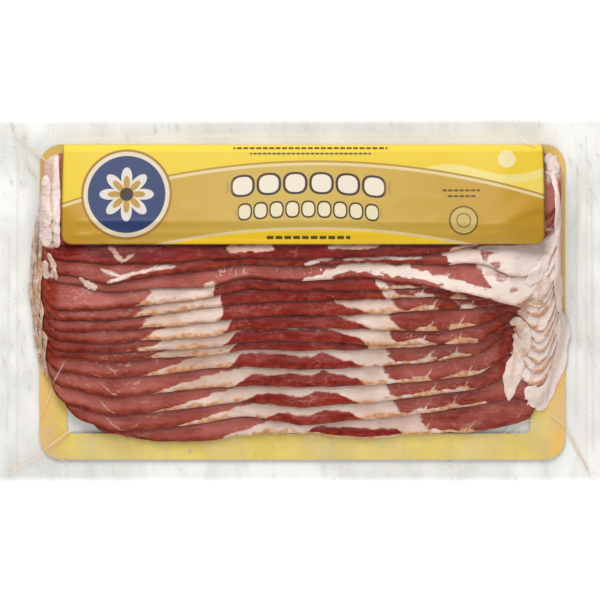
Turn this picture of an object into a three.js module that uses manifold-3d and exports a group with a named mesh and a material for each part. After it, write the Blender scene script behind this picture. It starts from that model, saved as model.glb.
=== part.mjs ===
// A sealed vacuum pack of sliced bacon, lying on its back with the label side up.
// Seventeen shingled slices lie on a folded card, between two webs of clear film.
// Millimetres, +X along the pack, +Y towards the label, +Z up, origin under the pack's centre.
import * as THREE from "three";
import { mergeVertices } from "three/addons/utils/BufferGeometryUtils.js";
import Module from "manifold-3d";

const wasm = await Module();
wasm.setup();

// The pouch: a flat back web, and a front web drawn down over the contents and sealed to it.
const POUCH_LENGTH = 290;
const POUCH_WIDTH = 173.5;
const WEB_THICKNESS = 0.3;
const CLEARANCE = 0.3; // between pieces that touch
const FILM_SLOPE = 1.3; // how steeply the front web comes down from what it covers

// The card: a back panel with a window, folded over at the top into the label flap.
const CARD_THICKNESS = 0.5;
const PANEL = { left: -125.7, right: 128.1, bottom: -77.1, top: 75.2, corner: 10.5 };
const WINDOW = { left: -112.6, right: 111.2, bottom: -64.5, top: -16.5, corner: 3 };
const FLAP = { left: -115, right: 118.4, bottom: 26.6, corner: 4.5 };
const FOLD_HEIGHT = 4.6; // from the panel's underside to the flap's top at the fold
const PANEL_BASE = WEB_THICKNESS + CLEARANCE;
const PANEL_TOP = PANEL_BASE + CARD_THICKNESS;

// The slices: each lies on the ones below it, and its free edge faces -Y.
const SLICE_PITCH = 2; // from one slice's face to the next one's
const SLICE_GAP = 0.5;
const SLICE_WIDTH = 42;
const EDGE_BEVEL = { reach: 1.6, drop: 1.1 };
const END_CORNER = { reach: 9, depth: 12 };
const FAR_LIMIT = 70.5; // no slice reaches into the card's fold
const SETTLE = 25; // how far past a slice's rim the ones above it come down
const STACK_BASE = PANEL_TOP + CLEARANCE;
const KEY_REACH = 96.7; // the left and right columns below are this far from the centre
// Y of each free edge at the left key, the centre and the right key, from the lowest slice up.
const FREE_EDGES = [
  [-67.0, -64.5, -62.6],
  [-62.6, -60.7, -50.0],
  [-55.3, -52.0, -42.3],
  [-46.2, -42.3, -34.1],
  [-37.5, -33.6, -26.8],
  [-30.4, -24.4, -19.1],
  [-25.5, -19.1, -14.7],
  [-20.9, -13.8, -9.4],
  [-14.7, -7.3, -4.6],
  [-10.2, -1.0, -1.7],
  [-4.8, 4.6, 2.2],
  [3.6, 9.4, -1.2],
  [8.0, 15.7, 12.8],
  [16.7, 20.1, 21.5],
  [24.4, 25.6, 24.9],
  [30.4, 31.0, 30.0],
  [36.4, 36.5, 35.5],
];
const SLICE_COUNT = FREE_EDGES.length;
// Where the slices end: the lowest ones stop short by a step that shrinks from slice to slice.
const LEFT_END = { x: -124, lowestShortBy: 20 };
const RIGHT_END = { x: 129, lowestShortBy: 30 };
const END_STEP_RATIO = 0.45;
const END_PRESS = { share: 0.42, reach: 22 }; // the pressed stack thins out towards its ends

// Mesh fineness.
const SLICE_GRID = [13, 6];
const END_CROWDING = 0.9; // how far the slice stations are drawn towards its ends
const FLAP_GRID = [20, 14];
const FRONT_GRID = [44, 30];
const BACK_GRID = [8, 5];

const { clamp, lerp, smoothstep } = THREE.MathUtils;

// The parabola through three values at -KEY_REACH, 0 and KEY_REACH.
function throughKeys([left, middle, right], x) {
  const t = x / KEY_REACH;
  return middle + ((right - left) / 2) * t + ((right + left) / 2 - middle) * t * t;
}

function sliceEnds(k) {
  const step = END_STEP_RATIO ** k;
  return {
    left: LEFT_END.x + LEFT_END.lowestShortBy * step,
    right: RIGHT_END.x - RIGHT_END.lowestShortBy * step,
  };
}

// How far a round corner draws an edge in, at a distance from the piece's end.
function cornerDraw(fromEnd, { reach, depth }) {
  const t = clamp(1 - fromEnd / reach, 0, 1);
  return depth * (1 - Math.sqrt(1 - t * t));
}

// The two long edges of slice k at this x.
function sliceEdges(k, x) {
  const { left, right } = sliceEnds(k);
  const drawn = cornerDraw(Math.min(x - left, right - x), END_CORNER);
  const free = throughKeys(FREE_EDGES[k], x);
  return { free: free + drawn, far: Math.min(free + SLICE_WIDTH, FAR_LIMIT) - 0.6 * drawn };
}

// 1 where slice k lies, fading to 0 a little outside its rim.
function presence(k, x, y) {
  const { left, right } = sliceEnds(k);
  const { free, far } = sliceEdges(k, clamp(x, left, right));
  const outside = Math.hypot(Math.max(left - x, x - right, 0), Math.max(free - y, y - far, 0));
  return 1 - smoothstep(outside, 0, SETTLE);
}

// The share of its full height that the pressed stack keeps near its two ends.
function endShare(x) {
  const fromEnd = Math.min(x - LEFT_END.x, RIGHT_END.x - x);
  return 1 - END_PRESS.share * (1 - smoothstep(fromEnd, -2, END_PRESS.reach));
}

// Height of slice k's underside.
function sliceBase(k, x, y) {
  let layers = 0;
  for (let j = 0; j < k; j += 1) layers += presence(j, x, y);
  return STACK_BASE + endShare(x) * SLICE_PITCH * layers;
}

function sliceThickness(x) {
  return endShare(x) * SLICE_PITCH - SLICE_GAP;
}

// A closed sheet over a grid, both faces split into triangles alike. place(u, v, w) gives each
// corner: u and v run from 0 to 1, and w is 1 on the upper face and 0 on the lower one.
function warpedSheet([lengthSegments, widthSegments], place) {
  const plane = new THREE.PlaneGeometry(1, 1, lengthSegments, widthSegments);
  const flat = plane.getAttribute("position");
  const points = [];
  for (const w of [1, 0]) {
    for (let i = 0; i < flat.count; i += 1) {
      points.push(...place(flat.getX(i) + 0.5, flat.getY(i) + 0.5, w));
    }
  }
  const upper = [...plane.index.array];
  const faces = [...upper];
  for (let i = 0; i < upper.length; i += 3) {
    faces.push(...[upper[i], upper[i + 2], upper[i + 1]].map((corner) => corner + flat.count));
  }
  const rim = rimCorners(lengthSegments, widthSegments);
  rim.forEach((a, i) => {
    const b = rim[(i + 1) % rim.length];
    faces.push(a, a + flat.count, b, b, a + flat.count, b + flat.count);
  });
  const sheet = new THREE.BufferGeometry();
  sheet.setAttribute("position", new THREE.Float32BufferAttribute(points, 3));
  sheet.setIndex(faces);
  sheet.computeVertexNormals();
  return sheet;
}

// The corners round a plane's rim, anticlockwise seen from above.
function rimCorners(lengthSegments, widthSegments) {
  const corner = (column, row) => column + (lengthSegments + 1) * row;
  const rim = [];
  for (let i = 0; i < lengthSegments; i += 1) rim.push(corner(i, widthSegments));
  for (let j = widthSegments; j > 0; j -= 1) rim.push(corner(lengthSegments, j));
  for (let i = lengthSegments; i > 0; i -= 1) rim.push(corner(i, 0));
  for (let j = 0; j < widthSegments; j += 1) rim.push(corner(0, j));
  return rim;
}

// A closed geometry as a solid for joining and cutting.
function toSolid(geometry) {
  const bare = geometry.clone();
  bare.deleteAttribute("normal");
  bare.deleteAttribute("uv");
  const merged = mergeVertices(bare, 1e-4);
  const vertProperties = new Float32Array(merged.getAttribute("position").array);
  const triVerts = new Uint32Array(merged.index.array);
  return new wasm.Manifold(new wasm.Mesh({ numProp: 3, vertProperties, triVerts }));
}

function toGeometry(solid) {
  const mesh = solid.getMesh();
  const geometry = new THREE.BufferGeometry();
  geometry.setAttribute("position", new THREE.BufferAttribute(mesh.vertProperties, 3));
  geometry.setIndex(new THREE.BufferAttribute(mesh.triVerts, 1));
  geometry.computeVertexNormals();
  return geometry;
}

// A rectangle with round corners, drawn into a Shape or a Path.
function roundedRectangle(outline, { left, right, bottom, top, corner }) {
  outline.moveTo(left + corner, bottom);
  outline.absarc(right - corner, bottom + corner, corner, -Math.PI / 2, 0);
  outline.absarc(right - corner, top - corner, corner, 0, Math.PI / 2);
  outline.absarc(left + corner, top - corner, corner, Math.PI / 2, Math.PI);
  outline.absarc(left + corner, bottom + corner, corner, Math.PI, 1.5 * Math.PI);
  return outline;
}

// Evenly spaced values from low to high.
function spread(low, high, steps) {
  return Array.from({ length: steps + 1 }, (_, i) => lerp(low, high, i / steps));
}

// A sheet's underside over a grid of places: each corner stands as high as the surface does in the
// cells round it, and the sheet comes down beside what it covers no steeper than slope.
function drapedGrid(xs, ys, surface, slope) {
  const finer = 6;
  const columns = spread(xs[0], xs.at(-1), finer * (xs.length - 1));
  const rows = spread(ys[0], ys.at(-1), finer * (ys.length - 1));
  const tops = columns.map((x) => rows.map((y) => surface(x, y)));
  const around = (centre, last) =>
    spread(-finer, finer, 2 * finer).map((step) => clamp(centre + step, 0, last));
  const crest = (i, j) => {
    const beside = around(j * finer, rows.length - 1);
    const across = around(i * finer, columns.length - 1);
    return Math.max(...across.map((column) => Math.max(...beside.map((row) => tops[column][row]))));
  };
  const crests = xs.flatMap((x, i) => ys.map((y, j) => [x, y, crest(i, j)]));
  const height = (x, y) =>
    Math.max(...crests.map(([px, py, pz]) => pz - slope * Math.hypot(px - x, py - y)));
  return xs.map((x) => ys.map((y) => height(x, y)));
}

// One slice of bacon: a long strip with round ends, whose free edge is bevelled.
function sliceGeometry(k) {
  const { left, right } = sliceEnds(k);
  const bevelShare = 1 / SLICE_GRID[1];
  return warpedSheet(SLICE_GRID, (u, v, w) => {
    const x = lerp(left, right, lerp(u, 0.5 - 0.5 * Math.cos(Math.PI * u), END_CROWDING));
    const { free, far } = sliceEdges(k, x);
    const inner = free + EDGE_BEVEL.reach;
    const inBevel = v < bevelShare;
    const share = inBevel ? v / bevelShare : (v - bevelShare) / (1 - bevelShare);
    const y = inBevel ? lerp(free, inner, share) : lerp(inner, far, share);
    const drop = w === 1 && v === 0 ? EDGE_BEVEL.drop * endShare(x) : 0;
    return [x, y, sliceBase(k, x, y) + w * sliceThickness(x) - drop];
  });
}

// The top of the slices at a place, or the panel's top where there are none.
function stackTop(x, y) {
  for (let k = SLICE_COUNT - 1; k >= 0; k -= 1) {
    const { left, right } = sliceEnds(k);
    if (x < left || x > right) continue;
    const { free, far } = sliceEdges(k, x);
    if (y >= free && y <= far) return sliceBase(k, x, y) + sliceThickness(x);
  }
  return PANEL_TOP;
}

// The flap: columns run across it, rows from its free edge up to the fold.
const FLAP_XS = spread(FLAP.left, FLAP.right, FLAP_GRID[0]);
const FOLD_STEPS = 4;
const FOLD_START = PANEL.top - FOLD_HEIGHT / 2;
const FLAP_YS = spread(FLAP.bottom, FOLD_START, FLAP_GRID[1] - FOLD_STEPS);
const FOLD_TOP = PANEL_BASE + FOLD_HEIGHT;
const FLAP_BASES = drapedGrid(
  FLAP_XS,
  FLAP_YS,
  (x, y) => Math.max(stackTop(x, y) + CLEARANCE, FOLD_TOP - CARD_THICKNESS),
  FILM_SLOPE,
);

// The label flap and the fold, as one bent sheet from the flap's free edge to the panel.
function flapGeometry() {
  return warpedSheet(FLAP_GRID, (u, v, w) => {
    const column = Math.round(u * FLAP_GRID[0]);
    const row = Math.round(v * FLAP_GRID[1]);
    if (row < FLAP_YS.length) {
      const y = FLAP_YS[row];
      const drawn = cornerDraw(y - FLAP.bottom, { reach: FLAP.corner, depth: FLAP.corner });
      const x = lerp(FLAP.left + drawn, FLAP.right - drawn, u);
      return [x, y, FLAP_BASES[column][row] + w * CARD_THICKNESS];
    }
    const angle = (Math.PI * (row - FLAP_YS.length + 1)) / FOLD_STEPS;
    const radius = FOLD_HEIGHT / 2 - (1 - w) * CARD_THICKNESS;
    const middle = PANEL_BASE + FOLD_HEIGHT / 2;
    return [FLAP_XS[column], FOLD_START + radius * Math.sin(angle), middle + radius * Math.cos(angle)];
  });
}

function cardGeometry() {
  const outline = roundedRectangle(new THREE.Shape(), PANEL);
  outline.holes.push(roundedRectangle(new THREE.Path(), WINDOW));
  const panel = new THREE.ExtrudeGeometry(outline, {
    depth: CARD_THICKNESS,
    bevelEnabled: false,
    curveSegments: 6,
  }).translate(0, 0, PANEL_BASE);
  return toGeometry(toSolid(panel).add(toSolid(flapGeometry())));
}

// Whether a place is over the card's panel, with its round corners.
function overPanel(x, y) {
  const { left, right, bottom, top, corner } = PANEL;
  const dx = Math.abs(x - (left + right) / 2) - (right - left) / 2 + corner;
  const dy = Math.abs(y - (bottom + top) / 2) - (top - bottom) / 2 + corner;
  return Math.hypot(Math.max(dx, 0), Math.max(dy, 0)) <= corner;
}

// The highest corner of the flap's top in the grid cell at a place.
function flapTop(x, y) {
  const columns = FLAP_XS.length - 1;
  const rows = FLAP_YS.length - 1;
  const i = clamp(Math.floor(((x - FLAP.left) / (FLAP.right - FLAP.left)) * columns), 0, columns - 1);
  const j = clamp(Math.floor(((y - FLAP.bottom) / (FOLD_START - FLAP.bottom)) * rows), 0, rows - 1);
  const bases = [FLAP_BASES[i], FLAP_BASES[i + 1]].flatMap((column) => [column[j], column[j + 1]]);
  return Math.max(...bases) + CARD_THICKNESS;
}

// The top of whatever lies at a place, for the front web to be drawn down on.
function contentsTop(x, y) {
  const overFlap = x >= FLAP.left && x <= FLAP.right && y >= FLAP.bottom && y <= PANEL.top;
  if (overFlap) return flapTop(x, y);
  const slices = stackTop(x, y);
  return slices > PANEL_TOP || overPanel(x, y) ? slices : WEB_THICKNESS;
}

function frontWebGeometry() {
  const xs = spread(-POUCH_LENGTH / 2, POUCH_LENGTH / 2, FRONT_GRID[0]);
  const ys = spread(-POUCH_WIDTH / 2, POUCH_WIDTH / 2, FRONT_GRID[1]);
  const undersides = drapedGrid(xs, ys, (x, y) => contentsTop(x, y) + CLEARANCE, FILM_SLOPE);
  return warpedSheet(FRONT_GRID, (u, v, w) => {
    const i = Math.round(u * FRONT_GRID[0]);
    const j = Math.round(v * FRONT_GRID[1]);
    return [xs[i], ys[j], undersides[i][j] + w * WEB_THICKNESS];
  });
}

function backWebGeometry() {
  return warpedSheet(BACK_GRID, (u, v, w) => [
    (u - 0.5) * POUCH_LENGTH,
    (v - 0.5) * POUCH_WIDTH,
    w * WEB_THICKNESS,
  ]);
}

function finish(color, roughness) {
  return new THREE.MeshStandardMaterial({ color, roughness, metalness: 0 });
}

const pack = new THREE.Group();

function addPiece(name, geometry, material) {
  const mesh = new THREE.Mesh(geometry, material);
  mesh.name = name;
  pack.add(mesh);
}

addPiece("film_back", backWebGeometry(), finish(0xe9eae6, 0.2));
addPiece("film_front", frontWebGeometry(), finish(0xe9eae6, 0.2));
addPiece("card", cardGeometry(), finish(0xe3c354, 0.55));
for (let k = 0; k < SLICE_COUNT; k += 1) {
  const number = String(k + 1).padStart(2, "0");
  addPiece(`slice_${number}`, sliceGeometry(k), finish(0xa65650, 0.4));
}

export default pack;
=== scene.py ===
import math
import bmesh
import bpy
import numpy as np
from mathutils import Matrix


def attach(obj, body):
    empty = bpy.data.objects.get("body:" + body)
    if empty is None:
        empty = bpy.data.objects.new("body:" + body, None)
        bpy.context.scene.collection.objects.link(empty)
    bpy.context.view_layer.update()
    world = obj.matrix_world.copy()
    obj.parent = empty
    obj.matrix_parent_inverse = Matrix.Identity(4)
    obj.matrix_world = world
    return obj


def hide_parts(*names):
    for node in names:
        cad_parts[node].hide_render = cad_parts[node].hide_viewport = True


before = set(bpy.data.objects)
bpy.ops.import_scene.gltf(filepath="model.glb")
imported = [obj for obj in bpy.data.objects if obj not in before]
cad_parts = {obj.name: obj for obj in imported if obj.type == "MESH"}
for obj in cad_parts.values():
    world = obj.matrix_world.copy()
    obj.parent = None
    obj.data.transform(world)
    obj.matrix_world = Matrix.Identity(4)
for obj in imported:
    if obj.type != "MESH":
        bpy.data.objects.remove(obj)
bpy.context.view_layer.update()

# The view: the pack lies on a pale table and is seen from straight above, its label away from
# the viewer. Its 290 mm length fills the picture's width.
MM = 0.001
PACK_LENGTH = 290.0
PACK_WIDTH = 173.5
CAMERA_HEIGHT = 1.6
SENSOR_WIDTH = 36.0

camera_data = bpy.data.cameras.new("view_from_above")
camera_data.sensor_width = SENSOR_WIDTH
camera_data.lens = SENSOR_WIDTH * CAMERA_HEIGHT / (PACK_LENGTH * MM)
camera = bpy.data.objects.new("view_from_above", camera_data)
camera.location = (0.0, 0.0, CAMERA_HEIGHT)
bpy.context.collection.objects.link(camera)
bpy.context.scene.camera = camera


def soft_light(name, place, size, power):
    """A square soft box that faces the middle of the pack."""
    data = bpy.data.lights.new(name, "AREA")
    data.size = size
    data.energy = power
    lamp = bpy.data.objects.new(name, data)
    lamp.location = place
    distance = math.dist(place, (0.0, 0.0, 0.0))
    lamp.rotation_euler = (math.acos(place[2] / distance), 0.0, math.atan2(place[0], -place[1]))
    bpy.context.collection.objects.link(lamp)


soft_light("window_light", (-0.25, 1.15, 0.8), 0.8, 24.0)
soft_light("fill_light", (0.35, -1.1, 0.9), 1.0, 14.0)

room = bpy.data.worlds.new("pale_room")
room.use_nodes = True
room.node_tree.nodes["Background"].inputs["Color"].default_value = (1.0, 1.0, 1.0, 1.0)
room.node_tree.nodes["Background"].inputs["Strength"].default_value = 0.3
bpy.context.scene.world = room
bpy.context.scene.view_settings.view_transform = "Standard"

TABLE_HALF_SIZE = 1.5
TABLE_DROP = 0.0002
table_mesh = bmesh.new()
bmesh.ops.create_grid(table_mesh, x_segments=1, y_segments=1, size=TABLE_HALF_SIZE)
bmesh.ops.translate(table_mesh, verts=table_mesh.verts, vec=(0.0, 0.0, -TABLE_DROP))
table_data = bpy.data.meshes.new("table")
table_mesh.to_mesh(table_data)
table_mesh.free()
table = bpy.data.objects.new("table", table_data)
table_paint = bpy.data.materials.new("table_paint")
table_paint.use_nodes = True
table_shader = table_paint.node_tree.nodes["Principled BSDF"]
table_shader.inputs["Base Color"].default_value = (0.93, 0.93, 0.93, 1.0)
table_shader.inputs["Roughness"].default_value = 0.7
table_data.materials.append(table_paint)
bpy.context.collection.objects.link(table)

# The slices: seventeen strips of cured, smoked pork belly, sliced by machine and laid like roof
# tiles, each one a little further from the pack's lower edge than the one below it.
SLICE_PITCH = 2.0
SLICE_GAP = 0.12
SLICE_WIDTH = 42.0
FAR_LIMIT = 70.5
SETTLE = 25.0
STACK_BASE = 1.4
KEY_COLUMNS = [-111.2, -91.8, -67.7, -45.9, -26.6, 0.0, 29.0, 62.8, 87.0, 101.5, 109.7, 116.0, 123.7]
# Y of each free edge at the key columns, from the lowest slice up. The last three are hidden
# under the label, apart from their right ends.
FREE_EDGES = [
    [-59.7, -64.5, -68.4, -68.4, -65.5, -64.0, -66.9, -64.3, -63.6, -60.5, -57.8, -54.6, -43.6],
    [-56.1, -63.6, -61.6, -59.2, -55.3, -60.7, -57.8, -54.4, -50.5, -46.6, -48.1, -48.1, -37.3],
    [-50.4, -55.7, -54.1, -51.0, -48.6, -52.0, -49.7, -45.9, -42.8, -35.0, -40.4, -42.8, -29.1],
    [-42.1, -46.9, -45.0, -42.1, -41.3, -42.1, -41.2, -38.9, -35.8, -24.4, -32.6, -37.7, -22.8],
    [-34.9, -37.5, -35.8, -33.0, -31.9, -33.6, -32.6, -29.7, -25.7, -14.3, -27.8, -33.1, -18.0],
    [-27.6, -30.4, -27.8, -26.7, -23.9, -24.4, -23.9, -21.8, -20.5, -11.2, -21.5, -28.3, -13.2],
    [-24.4, -25.1, -24.2, -23.2, -20.1, -19.6, -21.3, -21.3, -19.6, -8.5, -16.7, -23.0, -8.3],
    [-19.6, -21.3, -19.1, -17.6, -14.3, -13.8, -14.0, -15.2, -12.1, -4.1, -11.8, -18.1, -3.5],
    [-14.7, -14.7, -12.8, -11.2, -8.0, -7.3, -7.0, -5.1, -3.6, -2.2, -6.0, -9.9, 3.7],
    [-9.9, -9.6, -7.0, -4.1, -1.1, -0.4, -0.1, 1.7, -0.2, -0.7, -2.2, -5.6, 8.6],
    [-4.9, -4.1, -1.7, 0.7, 5.1, 4.6, 4.6, 5.8, 3.6, 1.2, 1.7, -1.2, 12.0],
    [8.5, 3.6, 5.6, 5.6, 10.9, 8.9, 10.9, 6.0, 1.4, -3.1, 0.2, 7.5, 17.6],
    [12.3, 7.5, 11.8, 14.3, 17.2, 16.2, 18.1, 16.7, 17.6, 10.6, 10.9, 14.7, 24.4],
    [19.1, 17.2, 17.6, 19.6, 20.1, 19.6, 20.5, 21.5, 25.9, 26.3, 26.3, 27.8, 36.5],
    [26.3, 26.6, 27.0, 27.0, 27.2, 27.3, 27.6, 27.8, 28.0, 28.2, 28.3, 29.5, 35.0],
    [30.4, 31.0, 31.4, 31.5, 31.6, 32.0, 31.6, 31.5, 31.2, 31.0, 31.5, 33.0, 38.0],
    [36.4, 36.5, 36.5, 36.5, 36.5, 36.5, 36.4, 36.0, 35.8, 35.5, 36.0, 37.5, 42.0],]
SLICE_COUNT = len(FREE_EDGES)
LEFT_END = -124.0
RIGHT_END = 129.0
SHORT_BY = {"left": 20.0, "right": 13.0}
UPPER_SHORT_BY = 3.4
END_STEP_RATIO = 0.45
LEFT_CORNER = (10.0, 13.0)
RIGHT_CORNER = (7.0, 16.0)
END_PRESS = 0.42
END_REACH = {"left": 22.0, "right": 42.0}


def ease(value, low, high):
    """0 below low, 1 above high, and a smooth curve between."""
    t = np.clip((value - low) / (high - low), 0.0, 1.0)
    return t * t * (3.0 - 2.0 * t)


def between_corners(values, i, j, s, t):
    """Goes smoothly between the four values round square (i, j); the values repeat past their rim."""
    wide, tall = values.shape
    near = values[i % wide, j % tall] * (1 - s) + values[(i + 1) % wide, j % tall] * s
    far = values[i % wide, (j + 1) % tall] * (1 - s) + values[(i + 1) % wide, (j + 1) % tall] * s
    return near * (1 - t) + far * t


def patches(x, y, size, seed):
    """Smooth seeded values from -1 to 1, in patches of about this size."""
    values = np.random.default_rng(seed).uniform(-1.0, 1.0, (64, 64))
    u = np.asarray(x) / size
    v = np.asarray(y) / size
    i = np.floor(u).astype(int)
    j = np.floor(v).astype(int)
    return between_corners(values, i, j, ease(u - i, 0.0, 1.0), ease(v - j, 0.0, 1.0))


# One smooth curve for each free edge, kept as heights at every millimetre.
EDGE_XS = np.arange(-140.0, 141.0, 1.0)


def edge_curve(keys):
    """The free edge through these heights at the key columns, with its kinks smoothed."""
    straight = np.interp(EDGE_XS, KEY_COLUMNS, keys)
    weights = np.exp(-0.5 * (np.arange(-24, 25) / 2.6) ** 2)
    padded = np.pad(straight, 24, mode="edge")
    return np.convolve(padded, weights / weights.sum(), mode="valid")


EDGE_CURVES = [edge_curve(keys) for keys in FREE_EDGES]


def slice_ends(k):
    """The left and the right end of slice k; the upper slices stop short of the card's right edge."""
    step = END_STEP_RATIO**k
    right = RIGHT_END - SHORT_BY["right"] * step - UPPER_SHORT_BY * ease(k, 1.0, 5.0)
    return LEFT_END + SHORT_BY["left"] * step, right


def corner_draw(from_end, corner):
    """How far an edge draws in, so that its corner is round."""
    reach, depth = corner
    t = np.clip(1.0 - from_end / reach, 0.0, 1.0)
    return depth * (1.0 - np.sqrt(1.0 - t * t))


def slice_edges(k, x):
    """The free edge and the far edge of slice k at x."""
    left, right = slice_ends(k)
    drawn = corner_draw(x - left, LEFT_CORNER) + corner_draw(right - x, RIGHT_CORNER)
    wobble = 0.35 * patches(x, 0.0 * x + 9.0 * k, 8.0, 11)
    wobble += 0.22 * patches(x, 0.0 * x + 7.0 * k, 2.7, 12)
    free = np.interp(x, EDGE_XS, EDGE_CURVES[k]) + drawn + wobble
    far = np.minimum(free - drawn + SLICE_WIDTH, FAR_LIMIT) - 0.6 * np.minimum(drawn, 12.0)
    return free, np.maximum(far, free + 3.0)


def presence(k, x, y):
    """1 where slice k lies, fading to 0 a little outside its rim."""
    left, right = slice_ends(k)
    free, far = slice_edges(k, np.clip(x, left, right))
    beyond_end = np.maximum(np.maximum(left - x, x - right), 0.0)
    beyond_edge = np.maximum(np.maximum(free - y, y - far), 0.0)
    return 1.0 - ease(np.hypot(beyond_end, beyond_edge), 0.0, SETTLE)


def end_share(x):
    """How much of its full thickness a slice keeps at x, because the film presses the ends flat."""
    kept_left = ease(x - LEFT_END, -2.0, END_REACH["left"])
    kept_right = ease(RIGHT_END - x, -2.0, END_REACH["right"])
    return 1.0 - END_PRESS * (1.0 - np.minimum(kept_left, kept_right))


def slice_base(k, x, y):
    """The height that slice k rests at: on the slices below it, with low lumps."""
    layers = np.zeros_like(x)
    for below in range(k):
        layers += presence(below, x, y)
    lumps = 0.16 * patches(x, y, 9.0, 21) + 0.07 * patches(x, y, 3.0, 22)
    return STACK_BASE + end_share(x) * SLICE_PITCH * layers + lumps * ease(layers, 0.0, 1.0)


SLICE_COLUMNS = 480
# Places round the section: how far in from the free edge, and on the upper (1) or lower (0) face.
UPPER_ROWS = [0.0, 0.12, 0.3, 0.55, 0.85, 1.2, 1.6, 2.1, 2.7, 3.3, 4.0, 4.7]
UPPER_ROWS += [5.5, 6.3, 7.2, 8.1, 9.1, 10.2, 12.0, 15.0, 20.0, 27.0, 34.0, 39.0, 41.0]
LOWER_ROWS = [41.0, 38.0, 30.0, 20.0, 10.0, 3.0, 0.8]
SECTION = [(reach, 1) for reach in UPPER_ROWS] + [(reach, 0) for reach in LOWER_ROWS]
EDGE_ROUNDING = 1.25


def grid_object(name, columns, rows, place, close_round=False):
    """A grid whose corner in column i and row j goes to place(i, j), in millimetres."""
    shape = bmesh.new()
    bmesh.ops.create_grid(shape, x_segments=columns, y_segments=rows, size=1.0)
    mesh = bpy.data.meshes.new(name)
    shape.to_mesh(mesh)
    flat = np.empty(len(mesh.vertices) * 3)
    mesh.vertices.foreach_get("co", flat)
    flat = flat.reshape(-1, 3)
    i = np.rint((flat[:, 0] + 1.0) / 2.0 * columns).astype(int)
    j = np.rint((flat[:, 1] + 1.0) / 2.0 * rows).astype(int)
    x, y, z = place(i, j)
    mesh.vertices.foreach_set("co", (np.column_stack([x, y, z]) * MM).ravel())
    shape.clear()
    shape.from_mesh(mesh)
    if close_round:
        bmesh.ops.remove_doubles(shape, verts=shape.verts, dist=1e-6)
        rims = [edge for edge in shape.edges if edge.is_boundary]
        bmesh.ops.holes_fill(shape, edges=rims, sides=0)
        bmesh.ops.recalc_face_normals(shape, faces=shape.faces)
    for face in shape.faces:
        face.smooth = True
    shape.to_mesh(mesh)
    shape.free()
    piece = bpy.data.objects.new(name, mesh)
    bpy.context.collection.objects.link(piece)
    return piece


def corners_of(piece):
    """The corners of a piece in millimetres, as columns x, y and z."""
    flat = np.empty(len(piece.data.vertices) * 3)
    piece.data.vertices.foreach_get("co", flat)
    return flat.reshape(-1, 3).T / MM


def paint(piece, name, values):
    """Keeps one number for each corner, for the materials to read."""
    layer = piece.data.attributes.new(name, "FLOAT", "POINT")
    layer.data.foreach_set("value", np.clip(values, 0.0, 1.0).astype(np.float32))


def shape_slice(k):
    """One slice as a closed strip: a rounded lip along its free edge, and thin, pressed ends."""
    left, right = slice_ends(k)
    reach = np.array([step[0] for step in SECTION] + [SECTION[0][0]])
    upper = np.array([step[1] for step in SECTION] + [SECTION[0][1]])

    def place(i, j):
        u = i / SLICE_COLUMNS
        x = left + (right - left) * (0.8 * u + 0.2 * (0.5 - 0.5 * np.cos(np.pi * u)))
        free, far = slice_edges(k, x)
        width = far - free
        near_edge = width * (0.1 + 0.9 * reach[j] / SLICE_WIDTH) + np.minimum(reach[j], 0.3 * width)
        inward = np.minimum(reach[j], near_edge)
        y = np.minimum(free + inward, far)
        tip = ease(np.minimum(x - left, right - x), -0.2, 1.6)
        thickness = (end_share(x) * SLICE_PITCH - SLICE_GAP) * (0.25 + 0.75 * tip)
        t = np.clip(1.0 - (y - free) / EDGE_ROUNDING, 0.0, 1.0)
        lip = np.sqrt(1.0 - t * t)
        base = slice_base(k, x, y)
        z = np.where(upper[j] == 1, base + thickness * (0.12 + 0.88 * lip), base + 0.06 * (1 - lip))
        return x, y, z

    return grid_object(f"bacon_slice_{k + 1:02d}", SLICE_COLUMNS, len(SECTION), place, close_round=True)


# Where the left fat starts along each slice, lowest first: at the free edge and 8 mm further in.
LEFT_FAT = [(-38.9, -8.0), (-59.3, -14.0), (-70.0, -28.0), (-70.7, -34.5)]
LEFT_FAT += [(-75.0, -45.0), (-72.0, -58.0), (-77.7, -57.0), (-77.6, -60.0)]
LEFT_FAT += [(-77.0, -68.0), (-78.6, -72.0), (-77.3, -70.0)]
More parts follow.
